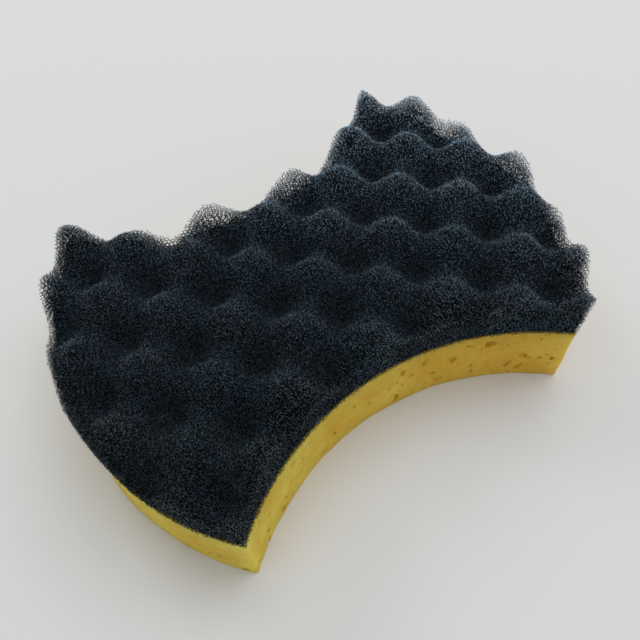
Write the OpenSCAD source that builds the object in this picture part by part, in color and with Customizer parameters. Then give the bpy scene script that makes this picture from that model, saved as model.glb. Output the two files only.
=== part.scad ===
// Two-layer foam cleaning pad, cut like an axe head
//
// A thick soft foam base carries a layer of open-cell foam whose top is cut
// into rows of rounded bumps, like an egg crate. Both layers were glued as
// sheets and then cut out together, so they share one outline: a disc with a
// round bite taken out of its front and its back, which leaves two convex
// ends, two hollow sides and four sharp corners.
//
// The pad lies on its base: +X runs along the long axis, +Y across the waist
// and +Z up. The origin is on the underside, at the middle of the outline.

/* [Outline] */
// Diameter of the disc that the two convex ends belong to
disc_d = 150; // [110:1:200]
// Diameter of the round bite in the front and in the back
bite_d = 161; // [140:1:220]
// Width that is left between the two bites
waist_w = 66; // [40:1:90]

/* [Base layer] */
// Thickness of the soft base foam
base_t = 22; // [8:0.5:40]

/* [Egg-crate layer] */
// Thickness of the open-cell foam in the hollows between the bumps
web_t = 6.2; // [2:0.1:15]
// Height of a bump above the hollows beside it
bump_h = 11.8; // [3:0.1:25]
// Distance from one bump to the next in the square grid of bumps
bump_pitch = 18.5; // [12:0.5:40]
// Turn of the grid of bumps against the long axis
bump_turn = 46; // [0:1:90]
// Place of the middle bump along the long axis
bump_x = -1.6; // [-20:0.1:20]
// Place of the middle bump across the waist
bump_y = -2.9; // [-20:0.1:20]
// Roundness of the bumps: 1 is an even wave, less is fuller, more is sharper
bump_power = 0.9; // [0.6:0.05:2]

/* [Hidden] */

disc_r = disc_d / 2;
bite_r = bite_d / 2;
// Distance from the middle of the pad to the middle of each bite
bite_y = waist_w / 2 + bite_r;

// The corners, where an end meets a bite
corner_y = (disc_r * disc_r - bite_r * bite_r + bite_y * bite_y) / (2 * bite_y);
corner_x = sqrt(disc_r * disc_r - corner_y * corner_y);
// Half of the angle that an end takes of its disc, and a side of its bite
end_angle = atan2(corner_y, corner_x);
side_angle = asin(corner_x / bite_r);

// Cells of the bumpy surface from one end to the other, and across the waist
cells = 52;

// A point of the outline's inside: across runs from -1 at one end to 1 at the
// other, and along runs from -1 at the front to 1 at the back. The four edges
// of this square fall on the four arcs of the outline.
function spread(across, along) = [
    across * (disc_r * cos(end_angle * along) - corner_x) + bite_r * sin(side_angle * across),
    disc_r * sin(end_angle * along)
        + along * (bite_y - bite_r * cos(side_angle * across) - corner_y)
];

// Height of the bumpy surface, from 0 in a hollow to 1 on top of a bump
function wave(p) =
    let (
        dx = p[0] - bump_x,
        dy = p[1] - bump_y,
        u = dx * cos(bump_turn) + dy * sin(bump_turn),
        v = dy * cos(bump_turn) - dx * sin(bump_turn),
        level = (2 + cos(360 * u / bump_pitch) + cos(360 * v / bump_pitch)) / 4
    )
    pow(max(level, 0), bump_power);

// Height of the pad's top at a point of its outline's inside
function top_z(p) = base_t + web_t + bump_h * wave(p);

// The outline, with its ends and sides as true arcs
module outline() {
    difference() {
        circle(r = disc_r, $fn = 180);
        for (side = [-1, 1])
            translate([0, side * bite_y])
                circle(r = bite_r, $fn = 180);
    }
}

// The soft base: one plain slab of foam, cut to the outline
module base_foam() {
    color("goldenrod")
        linear_extrude(height = base_t)
            outline();
}

// The open-cell layer: flat below, where it is glued to the base, and bumpy
// on top. Its surface is a net of points spread over the outline.
module eggcrate_foam() {
    row = cells + 1;
    layer = row * row;
    net = [
        for (j = [0:cells], i = [0:cells])
            spread(2 * i / cells - 1, 2 * j / cells - 1)
    ];
    top_points = [for (p = net) [p[0], p[1], top_z(p)]];
    foot_points = [for (p = net) [p[0], p[1], base_t]];
    // Points of the outline in order: front, right end, back and left end
    rim = concat(
        [for (i = [0:cells - 1]) i],
        [for (j = [0:cells - 1]) j * row + cells],
        [for (i = [cells:-1:1]) cells * row + i],
        [for (j = [cells:-1:1]) j * row]
    );
    rim_size = len(rim);
    top_faces = [
        for (j = [0:cells - 1], i = [0:cells - 1], half = [0, 1])
            let (a = j * row + i, b = a + 1, c = a + row, d = c + 1)
            half == 0 ? [a, c, b] : [b, c, d]
    ];
    // The flat foot: strips across the waist, and one face at each end
    foot_faces = concat(
        [
            for (i = [0:cells - 1])
                [for (k = [i, i + 1, cells * row + i + 1, cells * row + i]) k + layer]
        ],
        [[for (j = [0:cells]) j * row + cells + layer]],
        [[for (j = [cells:-1:0]) j * row + layer]]
    );
    wall_faces = [
        for (k = [0:rim_size - 1], half = [0, 1])
            let (a = rim[k], b = rim[(k + 1) % rim_size])
            half == 0 ? [a, b, a + layer] : [b, b + layer, a + layer]
    ];
    color("darkslategray")
        polyhedron(
            points = concat(top_points, foot_points),
            faces = concat(top_faces, foot_faces, wall_faces)
        );
}

base_foam();
eggcrate_foam();
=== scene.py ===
# %% [markdown]
# # A cleaning pad made of two foams
#
# The pad is two sheets of foam, glued face to face and then pressed out with one cutter.
# The lower sheet is soft yellow foam with a nearly closed grain and a scatter of open
# pores. The upper sheet is black open-cell foam, which is nothing but a net of fine
# struts, and its top is cut into rows of rounded bumps like an egg crate.
#
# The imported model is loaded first. It fixes the sizes, so each piece is built straight
# into the box that its solid fills.

import math
from itertools import permutations, product

import bpy
import numpy as np
from mathutils import Euler, Matrix, Vector


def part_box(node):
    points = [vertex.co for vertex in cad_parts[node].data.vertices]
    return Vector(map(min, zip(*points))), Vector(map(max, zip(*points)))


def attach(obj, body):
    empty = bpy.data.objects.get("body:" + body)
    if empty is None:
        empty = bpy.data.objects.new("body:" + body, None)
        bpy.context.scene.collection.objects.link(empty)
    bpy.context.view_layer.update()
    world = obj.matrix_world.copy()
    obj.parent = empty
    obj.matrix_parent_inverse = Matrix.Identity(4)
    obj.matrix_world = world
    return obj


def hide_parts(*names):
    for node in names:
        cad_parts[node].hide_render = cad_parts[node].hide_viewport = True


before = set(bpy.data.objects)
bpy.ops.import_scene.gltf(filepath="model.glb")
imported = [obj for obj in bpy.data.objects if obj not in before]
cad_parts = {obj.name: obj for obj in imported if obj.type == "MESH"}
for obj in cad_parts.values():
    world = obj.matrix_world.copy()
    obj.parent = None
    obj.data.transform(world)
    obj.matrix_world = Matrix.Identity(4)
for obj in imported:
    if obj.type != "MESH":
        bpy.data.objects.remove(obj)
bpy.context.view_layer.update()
print("solids:", sorted(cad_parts))

# %% [markdown]
# ## The outline and the sizes
#
# Both foams share one outline: a disc with a round bite in front and another behind. The
# disc's radius and the two heights are read from the frame. The bite's radius and the
# waist that the bites leave are sizes of the cutter, so they are written here once.

# %% Sizes
MM = 0.001

base_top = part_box("base_foam")[1].z
crate_low, crate_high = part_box("eggcrate_foam")
pad_top = crate_high.z
disc_radius = (crate_high.x - crate_low.x) / 2
bite_radius = 80.5 * MM
waist = 66 * MM
bite_middle = waist / 2 + bite_radius

corner_y = (disc_radius**2 - bite_radius**2 + bite_middle**2) / (2 * bite_middle)
corner_x = math.sqrt(disc_radius**2 - corner_y**2)
print("corners in mm:", round(corner_x / MM, 1), round(corner_y / MM, 1))
print("base in mm:", round(base_top / MM, 1), "whole pad:", round(pad_top / MM, 1))

# %% [markdown]
# ## Small helpers for modelling
#
# An operator works on whatever is selected, so each step starts by selecting one object
# and nothing else. Modifiers are applied as soon as they are set, the way a modeller
# works down a stack, and a finished piece has its place written into its mesh.

# %% Helpers for selecting and applying
def only(piece):
    if bpy.context.mode != "OBJECT":
        bpy.ops.object.mode_set(mode="OBJECT")
    bpy.ops.object.select_all(action="DESELECT")
    piece.select_set(True)
    bpy.context.view_layer.objects.active = piece


def named(name):
    piece = bpy.context.active_object
    piece.name = name
    piece.data.name = name
    return piece


def modify(piece, kind, **settings):
    only(piece)
    modifier = piece.modifiers.new(kind.lower(), kind)
    for setting, value in settings.items():
        setattr(modifier, setting, value)
    bpy.ops.object.modifier_apply(modifier=modifier.name)


def settle(piece):
    only(piece)
    bpy.ops.object.transform_apply(location=True, rotation=True, scale=True)


def triangles(piece):
    return sum(len(face.vertices) - 2 for face in piece.data.polygons)


# %% [markdown]
# ## The yellow slab
#
# A cutter presses through soft foam, so the slab starts as that cut: a disc, less two
# round bites. The four upright corners are a little blunt, as soft foam yields there, and
# the rims keep a crisp edge with only a small bevel. The walls are then sliced into rows
# about a millimetre high, which gives them points to be moved by. The flat faces are
# sliced into squares, because one face with a thousand corners is easily filled wrongly
# once its rim has moved.

# %% Cut the slab to the outline
disc_corners, bite_corners = 480, 512


def cylinder(name, radius, height, place, corners):
    bpy.ops.object.select_all(action="DESELECT")
    bpy.ops.mesh.primitive_cylinder_add(
        vertices=corners, radius=radius, depth=height, location=place)
    return named(name)


def cut_out(piece, cutter, **settings):
    modify(piece, "BOOLEAN", operation="DIFFERENCE", object=cutter, **settings)
    bpy.data.objects.remove(cutter)


slab = cylinder("base_foam_pad", disc_radius, base_top, (0, 0, base_top / 2), disc_corners)
for side in (-1, 1):
    place = (0, side * bite_middle, base_top / 2)
    cutter = cylinder("bite", bite_radius, 2 * base_top, place, bite_corners)
    cut_out(slab, cutter, solver="EXACT")
settle(slab)
print("slab as cut:", triangles(slab), "triangles")

# %% Blunt its corners and rims
corner_reach = 0.4 * MM
corner_bevel, rim_bevel = 1.0 * MM, 0.3 * MM
rim_angle = math.radians(50)

only(slab)
bpy.ops.object.mode_set(mode="EDIT")
bpy.ops.mesh.select_all(action="DESELECT")
bpy.ops.object.mode_set(mode="OBJECT")
for edge in slab.data.edges:
    low, high = (slab.data.vertices[v].co for v in edge.vertices)
    middle = (low + high) / 2
    upright = abs(low.z - high.z) > 0.9 * base_top
    off_corner = math.hypot(abs(middle.x) - corner_x, abs(middle.y) - corner_y)
    edge.select = upright and off_corner < corner_reach
bpy.ops.object.mode_set(mode="EDIT")
bpy.ops.mesh.select_mode(type="EDGE")
bpy.ops.mesh.bevel(offset=corner_bevel, segments=3, affect="EDGES")
bpy.ops.object.mode_set(mode="OBJECT")
modify(slab, "BEVEL", width=rim_bevel, segments=2, limit_method="ANGLE", angle_limit=rim_angle)

# %% Slice it
rows = 20
square = 10  # side of a square in mm
slices = [((0, 0, base_top * row / rows), (0, 0, 1)) for row in range(1, rows)]
slices += [((k * square * MM, 0, 0), (1, 0, 0)) for k in range(-7, 8)]
slices += [((0, k * square * MM, 0), (0, 1, 0)) for k in range(-5, 6)]
only(slab)
bpy.ops.object.mode_set(mode="EDIT")
for place, normal in slices:
    bpy.ops.mesh.select_all(action="SELECT")
    bpy.ops.mesh.bisect(plane_co=place, plane_no=normal)
bpy.ops.object.mode_set(mode="OBJECT")
print("slab:", triangles(slab), "triangles")

# %% [markdown]
# ## Soft walls
#
# Foam springs back unevenly behind the knife. A slow cloud texture makes the walls swell
# and dip by a fraction of a millimetre, and a finer one roughens them. The press also
# squeezes the foam while it cuts, so that the foot ends up a little wider than the top,
# most of all at the left end. Heights stay as they were, because the slab lies flat on
# the table and flat under the black foam.

# %% Let the walls wander
def clouds(name, scale, depth):
    texture = bpy.data.textures.new(name, "CLOUDS")
    texture.noise_scale = scale
    texture.noise_depth = depth
    return texture


heights = [vertex.co.z for vertex in slab.data.vertices]
for texture, strength in (
    (clouds("spring_back", 14 * MM, 1), 0.9 * MM),
    (clouds("cut_grain", 1.6 * MM, 2), 0.2 * MM),
):
    modify(slab, "DISPLACE", texture=texture, strength=strength, mid_level=0.5)

# %% Spread the foot
foot_spread = {"left": 1.1 * MM, "right": 0.0, "front": 0.85 * MM, "back": 0.6 * MM}
flare_power = 1.5
wall_margin = 1 * MM

for vertex, height in zip(slab.data.vertices, heights):
    x, y = vertex.co.x, vertex.co.y
    low = (1 - height / base_top) ** flare_power
    side, end = "front" if y < 0 else "back", "left" if x < 0 else "right"
    to_bite = Vector((-x, (-bite_middle if y < 0 else bite_middle) - y, 0))
    if to_bite.length < bite_radius + wall_margin:
        vertex.co += to_bite.normalized() * low * foot_spread[side]
    if math.hypot(x, y) > disc_radius - wall_margin:
        vertex.co += Vector((x, y, 0)).normalized() * low * foot_spread[end]
    vertex.co.z = height
left_foot = min(vertex.co.x for vertex in slab.data.vertices)
print("left end of the foot in mm:", round(left_foot / MM, 1))

# %% [markdown]
# ## Pores
#
# Here and there the knife opens a bubble, or tears a few into one ragged hole. Each pore
# is a blob that is cut out of the slab. A small one is a lumpy ball. A torn one is three
# balls run together, which a remesh welds into one skin. A few of each are modelled and
# then copied, squashed and turned, so that no two holes look alike. The large ones on the
# front wall and at the left end are listed one by one, and many more, most of them small,
# are strewn over the walls and the underside.

# %% Model the blobs
def lump(levels, roughness, seed, place=(0, 0, 0), radius=1):
    bpy.ops.object.select_all(action="DESELECT")
    bpy.ops.mesh.primitive_ico_sphere_add(subdivisions=levels, radius=radius, location=place)
    bpy.ops.object.mode_set(mode="EDIT")
    bpy.ops.mesh.select_all(action="SELECT")
    bpy.ops.transform.vertex_random(offset=roughness * radius, seed=seed)
    bpy.ops.mesh.vertices_smooth(factor=0.4, repeat=1)
    bpy.ops.object.mode_set(mode="OBJECT")
    return bpy.context.active_object


def torn_blob(name, seed):
    """Three lumps about a third of a turn apart, as wide as a ball of radius 1."""
    chance = np.random.default_rng(seed)
    lumps = []
    for k in range(3):
        angle = 2.1 * k + chance.uniform(-0.6, 0.6)
        place = Vector((math.cos(angle), math.sin(angle), 0)) * chance.uniform(0.35, 0.5)
        lumps.append(lump(3, 0.35, seed + k, place, chance.uniform(0.42, 0.66)))
    only(lumps[0])
    for piece in lumps:
        piece.select_set(True)
    bpy.ops.object.join()
    settle(lumps[0])
    modify(lumps[0], "REMESH", mode="VOXEL", voxel_size=0.12)
    modify(lumps[0], "DECIMATE", ratio=0.22)
    return named(name)


torn_blobs = [torn_blob(f"torn_{k}", 10 * k + 3) for k in range(4)]
round_blobs = []
for k in range(3):
    lump(2, 0.25, 50 + k)
    round_blobs.append(named(f"round_{k}"))
print("triangles of a torn blob:", [triangles(piece) for piece in torn_blobs])

# %% Places on the cut faces
def flare(wall, height):
    return foot_spread[wall] * (1 - height / base_top) ** flare_power


def on_bite(side, degrees, height):
    """A place on a bite's wall, its outward normal and the direction along the wall."""
    angle = math.radians(degrees)
    inward = Vector((math.sin(angle), -side * math.cos(angle), 0))
    reach = bite_radius - flare("front" if side < 0 else "back", height)
    place = Vector((0, side * bite_middle, height)) + reach * inward
    return place, -inward, Vector((inward.y, -inward.x, 0))


def on_end(degrees, height):
    angle = math.radians(degrees)
    normal = Vector((math.cos(angle), math.sin(angle), 0))
    reach = disc_radius + flare("right" if normal.x > 0 else "left", height)
    return reach * normal + Vector((0, 0, height)), normal, Vector((-normal.y, normal.x, 0))


def on_underside(x, y):
    return Vector((x, y, 0)), Vector((0, 0, -1)), Vector((1, 0, 0))


torn_stretch = 1.6


def pore(spot, width, height, depth, shape, spin):
    """A copy of a blob, set into a wall: width along it, height up it and depth into it.
    Torn blobs are flatter than round ones, so they are stretched to the same depth."""
    place, normal, along = spot
    up = normal.cross(along)
    depth *= torn_stretch if shape in torn_blobs else 1
    stand = Matrix((along, up, normal)).transposed().to_4x4()
    size = Matrix.Diagonal((width / 2, height / 2, depth, 1))
    turn = Matrix.Rotation(spin, 4, "Z")
    piece = bpy.data.objects.new("pore", shape.data.copy())
    piece.data.transform(Matrix.Translation(place) @ stand @ turn @ size)
    bpy.context.collection.objects.link(piece)
    return piece


# %% Places of the large pores
FRONT, BACK = -1, 1
front_pores = [  # degrees round the bite, height, width and tall in mm, lean in degrees
    (24.8, 18.0, 3.8, 4.0, 0), (23.2, 15.9, 1.0, 1.3, 20), (27.7, 14.0, 1.0, 1.2, 0),
    (17.0, 13.0, 2.6, 3.2, 15), (18.6, 10.1, 1.0, 1.3, 0), (10.7, 17.0, 1.8, 3.6, -10),
    (5.6, 16.2, 1.9, 2.9, 10), (7.7, 12.5, 1.1, 1.4, 0), (13.0, 8.8, 1.9, 2.3, 20),
    (14.4, 3.9, 3.0, 2.6, 0), (11.6, 4.1, 1.1, 1.4, 0), (4.2, 3.4, 2.1, 4.8, -8),
    (11.3, 1.2, 1.4, 1.2, 0), (21.8, 7.6, 1.0, 3.2, 0), (22.1, 4.1, 1.4, 2.0, 20),
    (27.1, 2.3, 1.1, 1.5, 0), (29.7, 5.8, 3.9, 2.1, 62), (32.4, 3.9, 5.0, 2.2, 60),
    (30.7, 1.3, 1.6, 1.3, 0), (32.6, 10.3, 3.0, 2.7, -20), (33.9, 9.1, 1.8, 2.1, 30),
    (36.2, 9.0, 1.8, 1.8, 0), (38.9, 9.3, 1.8, 1.8, 20), (33.0, 14.4, 0.9, 1.0, 0),
    (2.4, 10.9, 1.3, 1.2, 0), (8.6, 1.6, 1.0, 1.4, 0), (5.7, 9.3, 1.0, 1.9, 0),
    (-23.9, 16.6, 2.6, 3.3, 10), (-20.9, 12.7, 1.6, 2.3, 20), (-22.0, 6.8, 1.1, 1.5, 0),
    (-23.9, 8.2, 1.0, 1.2, 0), (-25.8, 14.3, 1.0, 1.1, 0), (-27.8, 5.2, 1.5, 1.7, 0),
    (-29.3, 2.2, 2.0, 2.4, 20), (-35.9, 17.9, 1.7, 1.9, 0), (-35.0, 6.6, 1.7, 2.4, 0),
    (-35.9, 1.3, 2.8, 2.8, 0), (-38.0, 11.1, 1.1, 2.8, 0), (-40.4, 2.7, 1.5, 2.3, 0),
    (-12.0, 8.1, 1.3, 1.8, 0), (-6.5, 14.1, 1.1, 1.2, 0), (-15.0, 3.2, 1.7, 1.6, 0),
]
end_pores = [  # degrees round the disc, height, width and tall in mm
    (-137.0, 1.2, 2.6, 1.8), (-141.9, 5.5, 3.0, 1.4), (-146.4, 8.6, 1.9, 1.4),
    (-151.6, 1.6, 1.6, 1.2), (-142.0, 8.4, 0.9, 0.8), (-160.0, 12.0, 1.2, 1.0),
    (-171.0, 6.0, 2.2, 1.6),
]

# %% Place the large pores
torn_from = 1.5  # width in mm from which a pore is a torn one
front_size, front_depth, end_depth, end_spin = 1.12, 0.3, 0.35, 0.3

pores = []
for k, (degrees, height, width, tall, lean) in enumerate(front_pores):
    blobs = torn_blobs if width > torn_from else round_blobs
    spot = on_bite(FRONT, degrees, height * MM)
    size = (front_size * width * MM, front_size * tall * MM, front_depth * min(width, tall) * MM)
    pores.append(pore(spot, *size, blobs[k % len(blobs)], math.radians(lean)))
for k, (degrees, height, width, tall) in enumerate(end_pores):
    spot = on_end(degrees, height * MM)
    size = (width * MM, tall * MM, end_depth * tall * MM)
    pores.append(pore(spot, *size, torn_blobs[(k + 1) % len(torn_blobs)], end_spin))

# %% Strew the small pores
rng = np.random.default_rng(23)
side_degrees = math.degrees(math.asin(corner_x / bite_radius))
end_degrees = math.degrees(math.atan2(corner_y, corner_x))
smallest, rarity, strewn_depth = 0.35 * MM, 5, 0.3


def strewn(count, spot_at, largest):
    """Pores of all sizes up to the largest; the higher the rarity, the fewer large ones."""
    for _ in range(count):
        size = smallest + largest * rng.random() ** rarity
        blobs = torn_blobs if size > torn_from * MM else round_blobs
        shape = blobs[rng.integers(len(blobs))]
        spot = spot_at()
        tall = size * rng.uniform(0.5, 1)
        pores.append(pore(spot, size, tall, strewn_depth * size, shape, rng.uniform(0, 3)))


def sideways(degrees):
    return rng.uniform(-0.97, 0.97) * degrees


def low_to_high():
    return rng.uniform(1 * MM, base_top - 1.5 * MM)


def anywhere_below():
    return on_underside(rng.uniform(-0.6, 0.6) * disc_radius, rng.uniform(-0.42, 0.42) * waist)


strewn(130, lambda: on_bite(FRONT, sideways(side_degrees), low_to_high()), 1.3 * MM)
strewn(90, lambda: on_bite(BACK, sideways(side_degrees), low_to_high()), 3.6 * MM)
strewn(90, lambda: on_end(sideways(end_degrees), low_to_high()), 3.4 * MM)
strewn(60, lambda: on_end(180 + sideways(end_degrees), low_to_high()), 2.2 * MM)
strewn(130, anywhere_below, 4 * MM)

# %% Join the pores into one cutter
only(pores[0])
for piece in pores:
    piece.select_set(True)
bpy.ops.object.join()
cutter = named("pores")
cutter.data.materials.clear()
for piece in torn_blobs + round_blobs:
    bpy.data.objects.remove(piece)
print("pores:", len(pores), "triangles:", triangles(cutter))

# %% [markdown]
# ## The colour of the yellow foam
#
# The cut face is a dull golden yellow. Its grain is far finer than the pores, so it is
# left to the material: a bump of tiny cells, faint dimples a few millimetres apart, and a
# drift between a lemon and a mustard tone. Painted shade makes it a little duller near
# the top, under the black foam, and it is also a little duller at the foot. A painted
# gradient of light makes the left end paler and the right end deeper in tone. Painted
# light makes the four upright corners paler, as a glow where the foam is thin and lets
# light through. Light goes a little way into pale foam, which a small subsurface share
# gives. The insides of the pores are painted deeper and more mottled, as shade and
# bounced light in a hollow, so they have their own material, which the cut leaves on
# the faces that it makes.

# %% Foam materials for the slab
def new_material(name):
    material = bpy.data.materials.new(name)
    material.use_nodes = True
    nodes, links = material.node_tree.nodes, material.node_tree.links
    return material, nodes, links, nodes["Principled BSDF"]


def ramp_of(nodes, links, factor, *stops):
    ramp = nodes.new("ShaderNodeValToRGB")
    elements = ramp.color_ramp.elements
    for k, (position, colour) in enumerate(stops):
        element = elements[k] if k < 2 else elements.new(position)
        element.position = position
        element.color = (*colour, 1)
    links.new(factor, ramp.inputs["Fac"])
    return ramp.outputs["Color"]


def multiplied(nodes, links, first, *others):
    for other in others:
        mix = nodes.new("ShaderNodeMix")
        mix.data_type, mix.blend_type = "RGBA", "MULTIPLY"
        mix.inputs["Factor"].default_value = 1
        links.new(first, mix.inputs["A"])
        links.new(other, mix.inputs["B"])
        first = mix.outputs["Result"]
    return first


def noise_of(nodes, links, coords, scale, detail):
    noise = nodes.new("ShaderNodeTexNoise")
    noise.inputs["Scale"].default_value = scale
    noise.inputs["Detail"].default_value = detail
    links.new(coords.outputs.get("Object") or coords.outputs["Vector"], noise.inputs["Vector"])
    return noise.outputs["Fac"]


def cells_of(nodes, links, coords, scale):
    cells = nodes.new("ShaderNodeTexVoronoi")
    cells.inputs["Scale"].default_value = scale
    links.new(coords.outputs["Object"], cells.inputs["Vector"])
    return cells.outputs["Distance"]


# %% Shades that follow the pad's shape
def across_the_pad(nodes, links, coords, degrees):
    """0 at one end of the pad and 1 at the other, or turned by some degrees from that."""
    along = nodes.new("ShaderNodeMapping")
    along.inputs["Location"].default_value = (0.5, 0, 0)
    along.inputs["Rotation"].default_value = (0, 0, math.radians(degrees))
    along.inputs["Scale"].default_value = (1 / (2 * disc_radius),) * 3
    gradient = nodes.new("ShaderNodeTexGradient")
    links.new(coords.outputs["Object"], along.inputs["Vector"])
    links.new(along.outputs["Vector"], gradient.inputs["Vector"])
    return gradient.outputs["Fac"]


def up_the_wall(nodes, links, coords):
    """0 at the slab's foot and 1 at its top."""
    apart = nodes.new("ShaderNodeSeparateXYZ")
    share = nodes.new("ShaderNodeMapRange")
    share.inputs["From Max"].default_value = base_top
    links.new(coords.outputs["Object"], apart.inputs["Vector"])
    links.new(apart.outputs["Z"], share.inputs["Value"])
    return share.outputs["Result"]


def near_a_corner(nodes, links, coords, reach):
    """1 at the four upright corners and 0 further off than the reach."""
    mirrored = nodes.new("ShaderNodeVectorMath")
    mirrored.operation = "ABSOLUTE"
    around = nodes.new("ShaderNodeMapping")
    around.inputs["Location"].default_value = (-corner_x / reach, -corner_y / reach, 0)
    around.inputs["Scale"].default_value = (1 / reach, 1 / reach, 0)
    ball = nodes.new("ShaderNodeTexGradient")
    ball.gradient_type = "SPHERICAL"
    links.new(coords.outputs["Object"], mirrored.inputs[0])
    links.new(mirrored.outputs["Vector"], around.inputs["Vector"])
    links.new(around.outputs["Vector"], ball.inputs["Vector"])
    return ball.outputs["Fac"]


# %% The two yellow materials
def soft_yellow(name, low, high, mottle):
    """Foam between two tones; mottle is how far its small patches darken."""
    material, nodes, links, shader = new_material(name)
    coords = nodes.new("ShaderNodeTexCoord")
    drift = noise_of(nodes, links, coords, 90, 3)
    patches = noise_of(nodes, links, coords, 420, 3)
    dimples = cells_of(nodes, links, coords, 1 / (2.4 * MM))
    grain = cells_of(nodes, links, coords, 2600)
    height_share = up_the_wall(nodes, links, coords)
    end_to_end = across_the_pad(nodes, links, coords, 0)
    corner = near_a_corner(nodes, links, coords, 4 * MM)
    dark = (1 - mottle, 1 - 1.1 * mottle, 1 - 2 * mottle)
    tones = [
        ramp_of(nodes, links, drift, (0.3, low), (0.7, high)),
        ramp_of(nodes, links, patches, (0.35, dark), (0.65, (1.04, 1.04, 1.06))),
        ramp_of(nodes, links, dimples, (0.10, (0.93, 0.92, 0.82)), (0.26, (1, 1, 1))),
        # painted shade: duller near the top, under the black foam; also a little duller at the
        # foot
        ramp_of(nodes, links, height_share, (0, (0.96, 0.96, 0.96)), (0.2, (1, 1, 1)),
                (0.5, (1.04, 1.01, 0.98)), (0.85, (0.95, 0.98, 0.95)), (1, (0.86, 0.91, 0.88))),
        # painted light: paler and more lemon at the left end, deeper and more orange at the
        # right
        ramp_of(nodes, links, end_to_end, (0.15, (1.0, 1.08, 1.13)), (0.8, (1.0, 0.91, 0.94))),
        # painted light: paler at the four upright corners, a glow through the thin foam
        ramp_of(nodes, links, corner, (0, (1, 1, 1)), (1, (1.14, 1.24, 1.4))),
    ]
    links.new(multiplied(nodes, links, *tones), shader.inputs["Base Color"])
    normal = None
    for height, strength, distance in ((dimples, 0.3, 0.5 * MM), (grain, 0.4, 0.15 * MM)):
        bump = nodes.new("ShaderNodeBump")
        bump.inputs["Strength"].default_value = strength
        bump.inputs["Distance"].default_value = distance
        links.new(height, bump.inputs["Height"])
        if normal:
            links.new(normal, bump.inputs["Normal"])
        normal = bump.outputs["Normal"]
    links.new(normal, shader.inputs["Normal"])
    shader.inputs["Roughness"].default_value = 0.85
    shader.inputs["Specular IOR Level"].default_value = 0.25
    shader.inputs["Subsurface Weight"].default_value = 0.4
    shader.inputs["Subsurface Radius"].default_value = (1.0, 0.7, 0.15)
    shader.inputs["Subsurface Scale"].default_value = 3 * MM
    return material


cut_face = soft_yellow("yellow_cut_face", (0.69, 0.42, 0.041), (0.775, 0.575, 0.086), 0.05)
# painted shade: the pores' insides are deeper, more saturated and more mottled than the cut
# face, for the shade and the bounced light in a hollow
pore_inside = soft_yellow("yellow_pore_inside", (0.69, 0.42, 0.034), (0.78, 0.53, 0.06), 0.2)
slab.data.materials.append(cut_face)
cutter.data.materials.append(pore_inside)

# %% Cut the pores
cut_out(slab, cutter, solver="MANIFOLD", material_mode="TRANSFER")
only(slab)
bpy.ops.object.shade_smooth_by_angle(angle=math.radians(40))
print("slab with pores:", triangles(slab), "triangles,", len(slab.data.materials), "materials")

# %% [markdown]
# ## The shape of the egg-crate top
#
# The bumps are one even wave in two directions, turned by nearly 45 degrees against the
# pad's long axis, which puts them in staggered rows. The same few values as in the solid
# model give the height at any place, so that what is built here fills its box.

# %% Height of the bumps
web = 6.2 * MM
bump_height = pad_top - base_top - web
bump_pitch = 18.5 * MM
bump_turn = math.radians(46)
bump_x, bump_y = -1.6 * MM, -2.9 * MM
bump_power = 0.9


def wave(x, y):
    """0 in a hollow and 1 on a crest."""
    dx, dy = x - bump_x, y - bump_y
    u = dx * math.cos(bump_turn) + dy * math.sin(bump_turn)
    v = dy * math.cos(bump_turn) - dx * math.sin(bump_turn)
    level = (2 + np.cos(2 * math.pi * u / bump_pitch) + np.cos(2 * math.pi * v / bump_pitch)) / 4
    return np.maximum(level, 0) ** bump_power


def top_height(x, y):
    return base_top + web + bump_height * wave(x, y)


def steepness(x, y, step=0.2 * MM):
    """How much longer the top is than its plan, along its slope."""
    rise_x = (top_height(x + step, y) - top_height(x - step, y)) / (2 * step)
    rise_y = (top_height(x, y + step) - top_height(x, y - step)) / (2 * step)
    return np.sqrt(1 + rise_x**2 + rise_y**2)


def wall_gap(x, y):
    """How far inside the outline a place is."""
    to_end = disc_radius - np.hypot(x, y)
    to_front = np.hypot(x, y + bite_middle) - bite_radius
    to_back = np.hypot(x, y - bite_middle) - bite_radius
    return np.minimum(to_end, np.minimum(to_front, to_back))


print("top of a bump:", round(float(top_height(bump_x, bump_y)) / MM, 1), "mm")

# %% [markdown]
# ## The dark heart
#
# A few cells down, open-cell foam swallows all light, and no ray gets through. Struts
# are only needed in the layer that can be seen into, so the rest is one closed dark
# body. It keeps just below the skin, and drops far away from it where a bump is cut
# through at the rim, because there the real foam is so thin that the table shows through.
# At the left end less of the table shows, so there it drops less.

# %% Model the heart
skin = 0.27 * MM
crest_skin = 0.55 * MM
heart_inset = 0.8 * MM
thinnest = 0.5 * MM
hollow_wedge, crest_wedge = 4, 9  # its width in mm, and how much wider it is on a crest
heart_corners = 240


def shelf_height(x, y, wedge):
    """Height of a shelf just below the skin, which rounds off towards the walls."""
    inside = np.clip(wall_gap(x, y) - heart_inset, 0, wedge)
    drop = wedge - np.sqrt(wedge**2 - (wedge - inside) ** 2)
    return top_height(x, y) - skin * steepness(x, y) - crest_skin * wave(x, y) ** 3 - drop


def heart_shelf(x, y):
    left_is_denser = np.clip((x + 80 * MM) / (45 * MM), 0.6, 1)
    wedge = (hollow_wedge + crest_wedge * wave(x, y)) * left_is_denser * MM
    return shelf_height(x, y, wedge)


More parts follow.
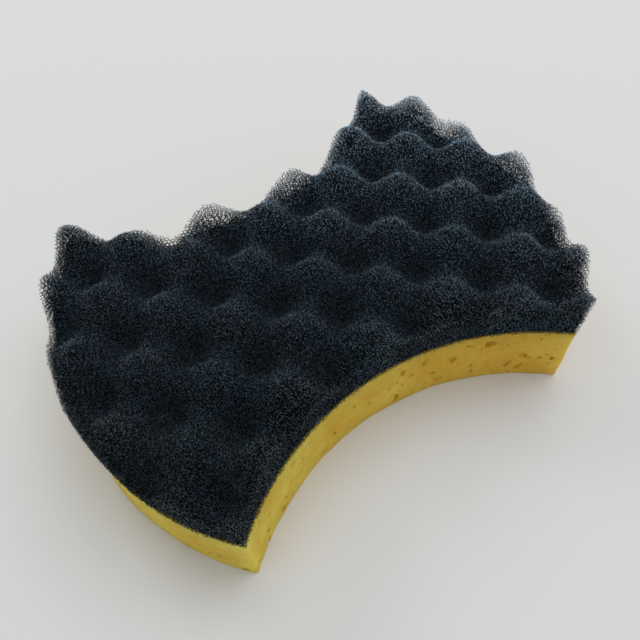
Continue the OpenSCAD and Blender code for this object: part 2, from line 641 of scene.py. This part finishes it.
def build_heart():
    bpy.ops.object.select_all(action="DESELECT")
    bpy.ops.mesh.primitive_grid_add(x_subdivisions=108, y_subdivisions=76, size=1)
    piece = named("eggcrate_heart")
    piece.scale = (2 * disc_radius, 2 * corner_y, 1)
    settle(piece)
    bpy.ops.object.mode_set(mode="EDIT")
    bpy.ops.mesh.select_all(action="SELECT")
    bpy.ops.mesh.extrude_region_move(TRANSFORM_OT_translate={"value": (0, 0, 1)})
    bpy.ops.object.mode_set(mode="OBJECT")
    for vertex in piece.data.vertices:
        top = vertex.co.z > 0.5
        high = float(heart_shelf(vertex.co.x, vertex.co.y))
        vertex.co.z = max(high, base_top + thinnest) if top else base_top
    keep = cylinder("keep", disc_radius - heart_inset, 4 * pad_top, (0, 0, 0), heart_corners)
    modify(piece, "BOOLEAN", operation="INTERSECT", object=keep, solver="EXACT")
    bpy.data.objects.remove(keep)
    for side in (-1, 1):
        place = (0, side * bite_middle, 0)
        cutter = cylinder("bite", bite_radius + heart_inset, 4 * pad_top, place, heart_corners)
        cut_out(piece, cutter, solver="EXACT")
    settle(piece)
    only(piece)
    bpy.ops.object.shade_smooth_by_angle(angle=math.radians(50))
    return piece


heart = build_heart()
print("heart:", triangles(heart), "triangles")

# %% [markdown]
# ## The net of struts
#
# Foam cells crowd together like soap bubbles, and the classic model of that is Kelvin's:
# space filled with truncated octahedra. Only the cells' edges are left in open-cell
# foam. The corners of those cells repeat in a cubic block, at twelve places, and each
# corner is joined to the four nearest. In real foam no two cells are alike, so the rows
# of blocks are bent by waves that run in all directions, and every corner is nudged.

# %% Corners and edges of one block
block_corners = np.array(sorted({p for q in (0.25, 0.75) for p in permutations((0, 0.5, q))}))


def block_edges():
    """(corner, corner, step to the other's block) for each edge that belongs to a block."""
    near = math.sqrt(2) / 4
    found = []
    for a, b in product(range(len(block_corners)), repeat=2):
        for step in product((-1, 0, 1), repeat=3):
            apart = np.linalg.norm(block_corners[b] + step - block_corners[a])
            if abs(apart - near) < 1e-6 and (b, *step) > (a, 0, 0, 0):
                found.append((a, b, step))
    return found


edges = block_edges()
print(len(block_corners), "corners and", len(edges), "edges in a block")

# %% [markdown]
# Two hundred thousand struts are too many to add one by one with an operator, so their
# places are worked out as arrays. The cells near the skin have about their true size.
# Behind them, in the see-through rims, a second net of larger cells is enough, as nobody
# can make out single cells there. Each net fills the room between an outer and an inner
# surface, and both surfaces are given as how deep a place lies under them. The net is
# rooted a little in the yellow foam, and its ragged cut edge hangs over the yellow rim.

# %% Surfaces that the nets lie between
root, overhang = 0.15 * MM, 0.6 * MM
edge_width = 0.15 * MM
fine_wedge = 4 * MM


def below_cut(places):
    """How far a place is inside the foam's cut faces; less than 0 is outside."""
    x, y, z = places.T
    below_top = (top_height(x, y) - z) / steepness(x, y)
    gap = wall_gap(x, y)
    foot = base_top - np.where(gap < edge_width, overhang, root)
    return np.minimum(below_top, np.minimum(gap, z - foot))


def below_shelf(shelf):
    def depth(places):
        x, y, z = places.T
        return np.minimum((shelf(x, y) - z) / steepness(x, y), wall_gap(x, y) - heart_inset)

    return depth


def fine_shelf(x, y):
    return np.maximum(shelf_height(x, y, fine_wedge), heart_shelf(x, y))


below_fine, below_heart = below_shelf(fine_shelf), below_shelf(heart_shelf)

# %% Bend the rows of cells
block_turn = np.array(Euler((math.radians(31), math.radians(22), math.radians(17))).to_matrix())
net_middle = np.array((0, 0, (base_top + pad_top) / 2))


def some_way(rng):
    way = rng.normal(size=3)
    return way / np.linalg.norm(way)


def bend(places, size, rng):
    for length, reach in ((11, 0.5), (6, 0.28), (3.5, 0.12)):
        for _ in range(3):
            run = some_way(rng) * 2 * math.pi / (length * size)
            push = np.sin(places @ run + rng.uniform(0, 6))[:, None] * some_way(rng)
            places = places + reach * size * push
    return places


def blocks_between(size, outer, inner):
    reach = int(math.hypot(disc_radius, corner_y) / size) + 2
    steps = np.arange(-reach, reach + 1)
    found = []
    for i in steps:
        plane = np.stack(np.meshgrid([i], steps, steps, indexing="ij"), -1).reshape(-1, 3)
        places = (plane + 0.5) * size @ block_turn.T + net_middle
        near = np.abs(places[:, 2] - net_middle[2]) < (pad_top - base_top) / 2 + 2 * size
        plane, places = plane[near], places[near]
        near = (outer(places) > -2 * size) & (inner(places) < 2 * size)
        found.append(plane[near])
    return np.concatenate(found)


# %% Place, nudge and trim the struts
fine_block, coarse_block = 1.26 * MM, 2.0 * MM
nudge = 0.06  # share of a block's size
buried = 0.1 * MM  # sum of its ends' depths under the inner surface that hides a strut
shortest = 0.15 * MM
ragged_from_to = (-0.5, 0.05)  # depth in mm at which a strut is cut off


def lay_struts(size, outer, inner, seed):
    rng = np.random.default_rng(seed)
    blocks = blocks_between(size, outer, inner)
    first, second = (np.tile([edge[k] for edge in edges], len(blocks)) for k in (0, 1))
    step = np.tile([edge[2] for edge in edges], (len(blocks), 1))
    own = np.repeat(blocks, len(edges), 0)
    ends_a = np.concatenate([own, first[:, None]], 1)
    ends_b = np.concatenate([own + step, second[:, None]], 1)
    corners, which = np.unique(np.concatenate([ends_a, ends_b]), axis=0, return_inverse=True)
    a, b = which.reshape(2, -1)
    places = (corners[:, :3] + block_corners[corners[:, 3]]) * size @ block_turn.T + net_middle
    places = bend(places, size, rng) + rng.normal(0, nudge * size, places.shape)

    deep, covered = outer(places), inner(places)
    keep = (np.maximum(deep[a], deep[b]) > 0) & (covered[a] + covered[b] < buried)
    a, b = a[keep], b[keep]
    start, end = places[a].copy(), places[b].copy()
    ragged = rng.uniform(*ragged_from_to, len(a)) * MM
    ways = ((start, end, deep[a], deep[b]), (end, start, deep[b], deep[a]))
    for near, far, near_deep, far_deep in ways:
        out = (near_deep < ragged) & (far_deep > ragged)
        share = ((near_deep - ragged) / (near_deep - far_deep))[out, None]
        near[out] += share * (far[out] - near[out])
    long_enough = np.linalg.norm(end - start, axis=1) > shortest
    return start[long_enough], end[long_enough]


skin_struts = lay_struts(fine_block, below_cut, below_fine, 5)
deep_struts = lay_struts(coarse_block, below_fine, below_heart, 6)
for starts, ends in (skin_struts, deep_struts):
    mean_length = float(np.linalg.norm(ends - starts, axis=1).mean())
    print("struts:", len(starts), "mean length in mm:", round(mean_length / MM, 2))

# %% [markdown]
# A strut is thinner than a pixel, so it has to be cheap. A sliver of four triangles does
# it: a blade at each end, the second turned a quarter round, is closed and looks about
# equally thick from every side. Each point also keeps how much light gets to it, for its
# tone: most at the cut face and a tenth a cell further down, more on the bumps than in
# the hollows, and more again near the rims, where light comes in through the sides. Not
# every strut catches the light equally, so each also has a glint drawn by chance.

# %% How much light reaches a place
depths, depth_light = (0, 0.4 * MM, 1.2 * MM), (1.0, 0.55, 0.1)
hollow_light, bump_light, rim_light, deep_rim_light = 0.22, 0.72, 0.33, 0.06
rim_reach = 7 * MM


def light_at(places):
    x, y, _ = places.T
    shade = np.interp(below_cut(places), depths, depth_light)
    rim = np.exp(-np.maximum(wall_gap(x, y), 0) / rim_reach)
    from_place = hollow_light + bump_light * wave(x, y) + rim_light * rim
    return (shade + deep_rim_light * rim) * from_place


# %% Make the struts into meshes
fine_strut, coarse_strut = 0.16 * MM, 0.28 * MM


def strut_mesh(name, starts, ends, width, rng):
    count = len(starts)
    along = (ends - starts) / np.linalg.norm(ends - starts, axis=1, keepdims=True)
    helper = np.where(np.abs(along[:, 2:]) < 0.8, (0, 0, 1), (1, 0, 0))
    side = np.cross(along, helper)
    side /= np.linalg.norm(side, axis=1, keepdims=True)
    up = np.cross(side, along)
    turn = rng.uniform(0, math.pi, (count, 1))
    half = width / 2 * rng.uniform(0.8, 1.2, (count, 1))
    blade = half * (np.cos(turn) * side + np.sin(turn) * up)
    cross_blade = np.cross(along, blade)
    corners = np.stack(
        (starts + blade, starts - blade, ends + cross_blade, ends - cross_blade), 1)
    sliver = np.array(((0, 1, 2), (0, 3, 1), (0, 2, 3), (1, 3, 2)))
    faces = (sliver[None] + 4 * np.arange(count)[:, None, None]).reshape(-1)

    mesh = bpy.data.meshes.new(name)
    mesh.vertices.add(4 * count)
    mesh.loops.add(12 * count)
    mesh.polygons.add(4 * count)
    mesh.vertices.foreach_set("co", corners.astype(np.float32).ravel())
    mesh.loops.foreach_set("vertex_index", faces.astype(np.int32))
    mesh.polygons.foreach_set("loop_start", np.arange(0, 12 * count, 3, dtype=np.int32))
    mesh.update(calc_edges=True)
    plan = corners.reshape(-1, 3)[faces][:, :2] / (2 * disc_radius) + 0.5
    mesh.uv_layers.new(name="OFBake").uv.foreach_set("vector", plan.astype(np.float32).ravel())
    glint = rng.uniform(0.7, 1.0, count)
    light = light_at(corners.reshape(-1, 3)) * np.repeat(glint, 4)
    attribute = mesh.attributes.new("light", "FLOAT", "POINT")
    attribute.data.foreach_set("value", light.astype(np.float32))
    piece = bpy.data.objects.new(name, mesh)
    bpy.context.collection.objects.link(piece)
    return piece


def build_cells():
    rng = np.random.default_rng(8)
    starts, ends = skin_struts
    shares = np.array_split(np.argsort((starts + ends)[:, 0]), 4)
    pieces = []
    for number, share in enumerate(shares, 1):
        name = f"eggcrate_cells_{number}"
        pieces.append(strut_mesh(name, starts[share], ends[share], fine_strut, rng))
    return pieces + [strut_mesh("eggcrate_deep_cells", *deep_struts, coarse_strut, rng)]


cells = build_cells()
print("triangles in each piece of the net:", [triangles(piece) for piece in cells])

# %% [markdown]
# ## The colour of the black foam
#
# The struts are charcoal with a cool cast. Light falls on the outermost ones and hardly
# reaches the next, so a strut's tone follows the light that its points carry, which is
# painted light and shade. A noise finer than a cell paints glints, so that lit and dark
# struts lie side by side. The tone drifts a little between cool and warm, and painted
# light makes it paler and cooler towards the back right, where the real pad catches a
# sheen from the light behind. The heart is nearly black, painted shade that stands for
# the unlit depth. A little of the net is painted on it, as dim cells seen through cells.

# %% Foam materials for the egg-crate layer
def charcoal():
    material, nodes, links, shader = new_material("black_open_cell")
    coords = nodes.new("ShaderNodeTexCoord")
    flat = nodes.new("ShaderNodeMapping")
    flat.inputs["Scale"].default_value = (1, 1, 0.5)
    links.new(coords.outputs["Object"], flat.inputs["Vector"])
    # painted glints: a noise finer than a cell lights some struts and leaves others nearly black
    painted_glints = noise_of(nodes, links, flat, 2500, 0)
    drift = noise_of(nodes, links, coords, 70, 2)
    light = nodes.new("ShaderNodeAttribute")
    light.attribute_name = "light"
    # painted light: paler and cooler towards the back right, a sheen from the light behind
    painted_sheen_to_back_right = across_the_pad(nodes, links, coords, -52)
    tones = [
        ramp_of(nodes, links, painted_glints,
                (0.495, (0.003, 0.005, 0.007)), (0.555, (0.73, 0.93, 1.14))),
        ramp_of(nodes, links, drift, (0.35, (0.85, 0.97, 1.0)), (0.65, (1.0, 0.96, 0.96))),
        ramp_of(nodes, links, light.outputs["Fac"], (0, (0, 0, 0)), (1, (1, 1, 1))),
        ramp_of(nodes, links, painted_sheen_to_back_right, (0.1, (0.26, 0.25, 0.23)),
                (0.84, (1.06, 1.12, 1.12)), (0.5, (0.47, 0.48, 0.47))),
    ]
    links.new(multiplied(nodes, links, *tones), shader.inputs["Base Color"])
    shader.inputs["Roughness"].default_value = 0.45
    shader.inputs["Specular IOR Level"].default_value = 0.06
    return material


def deep_dark():
    material, nodes, links, shader = new_material("black_depth")
    coords = nodes.new("ShaderNodeTexCoord")
    net = nodes.new("ShaderNodeTexVoronoi")
    net.feature = "DISTANCE_TO_EDGE"
    net.inputs["Scale"].default_value = 1 / (0.65 * MM)
    links.new(coords.outputs["Object"], net.inputs["Vector"])
    # painted shade: nearly black for the unlit depth, with dim lines for the deeper cells
    lines = ramp_of(nodes, links, net.outputs["Distance"],
                    (0.04, (0.030, 0.044, 0.058)), (0.11, (0.0006, 0.001, 0.0014)))
    links.new(lines, shader.inputs["Base Color"])
    shader.inputs["Roughness"].default_value = 0.95
    shader.inputs["Specular IOR Level"].default_value = 0.0
    return material


strut_finish, heart_finish = charcoal(), deep_dark()
for piece in cells:
    piece.data.materials.append(strut_finish)
heart.data.materials.clear()
heart.data.materials.append(heart_finish)

# %% [markdown]
# ## Hand the pieces to the frame
#
# Every piece stands for one of the two solids, whose imported mesh is hidden. Nothing on
# a sponge moves, so all ride on the one body.

# %% Tie the pieces to their solids
pieces = [(slab, "base_foam")] + [(piece, "eggcrate_foam") for piece in (heart, *cells)]
for piece, node in pieces:
    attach(piece, "root")
    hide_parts(node)
print("triangles in all:", sum(triangles(piece) for piece, _ in pieces))

# %% [markdown]
# ## Table, light and camera
#
# The pad lies on a plain pale table. The light is that of a bright room: an even glow
# from all around, with a broad lamp above and to the right and a smaller window behind,
# which together give the soft shadow in front. The camera looks steeply down from the
# front left.

# %% The table
bpy.ops.object.select_all(action="DESELECT")
bpy.ops.mesh.primitive_plane_add(size=4, location=(0, 0, -0.05 * MM))
table = named("table")
settle(table)
table_finish, nodes, links, shader = new_material("table_white")
coords = nodes.new("ShaderNodeTexCoord")
slow_noise = noise_of(nodes, links, coords, 3, 1)
tone = ramp_of(nodes, links, slow_noise,
               (0.3, (0.771, 0.766, 0.761)), (0.7, (0.779, 0.774, 0.769)))
links.new(tone, shader.inputs["Base Color"])
shader.inputs["Roughness"].default_value = 0.6
shader.inputs["Specular IOR Level"].default_value = 0.2
table.data.materials.append(table_finish)

# %% The light
def window(name, place, size, power, colour):
    bpy.ops.object.light_add(type="AREA", location=place)
    lamp = bpy.context.active_object
    lamp.name = name
    lamp.data.size = size
    lamp.data.energy = power
    lamp.data.color = colour
    lamp.rotation_euler = (-Vector(place)).to_track_quat("-Z", "Y").to_euler()


window("sky_above", (0.6, 0.15, 1.42), 1.4, 10.8, (1.0, 0.99, 0.98))
window("window_behind", (-0.2, 1.1, 0.9), 0.5, 3.0, (0.92, 0.97, 1.0))

room = bpy.data.worlds.new("room")
room.use_nodes = True
room.node_tree.nodes["Background"].inputs["Color"].default_value = (0.95, 0.98, 1.0, 1)
room.node_tree.nodes["Background"].inputs["Strength"].default_value = 0.49
bpy.context.scene.world = room
bpy.context.scene.view_settings.view_transform = "Standard"

# %% The camera
def add_camera():
    place = Vector((-53.25, -96.08, 175.73)) * MM
    yaw, down, roll = math.radians(29.402), math.radians(56.847), math.radians(-3.66)
    level = math.cos(down)
    ahead = Vector((math.sin(yaw) * level, math.cos(yaw) * level, -math.sin(down)))
    right = ahead.cross(Vector((0, 0, 1))).normalized()
    up = right.cross(ahead)
    right, up = (math.cos(roll) * right + math.sin(roll) * up,
                 math.cos(roll) * up - math.sin(roll) * right)
    bpy.ops.object.camera_add(location=place)
    camera = bpy.context.active_object
    turn = Matrix((right, up, -ahead)).transposed().to_4x4()
    camera.matrix_world = Matrix.Translation(place) @ turn
    camera.data.sensor_width = 36
    camera.data.lens = 35.643
    camera.data.clip_start = 0.01
    return camera


bpy.context.scene.camera = add_camera()
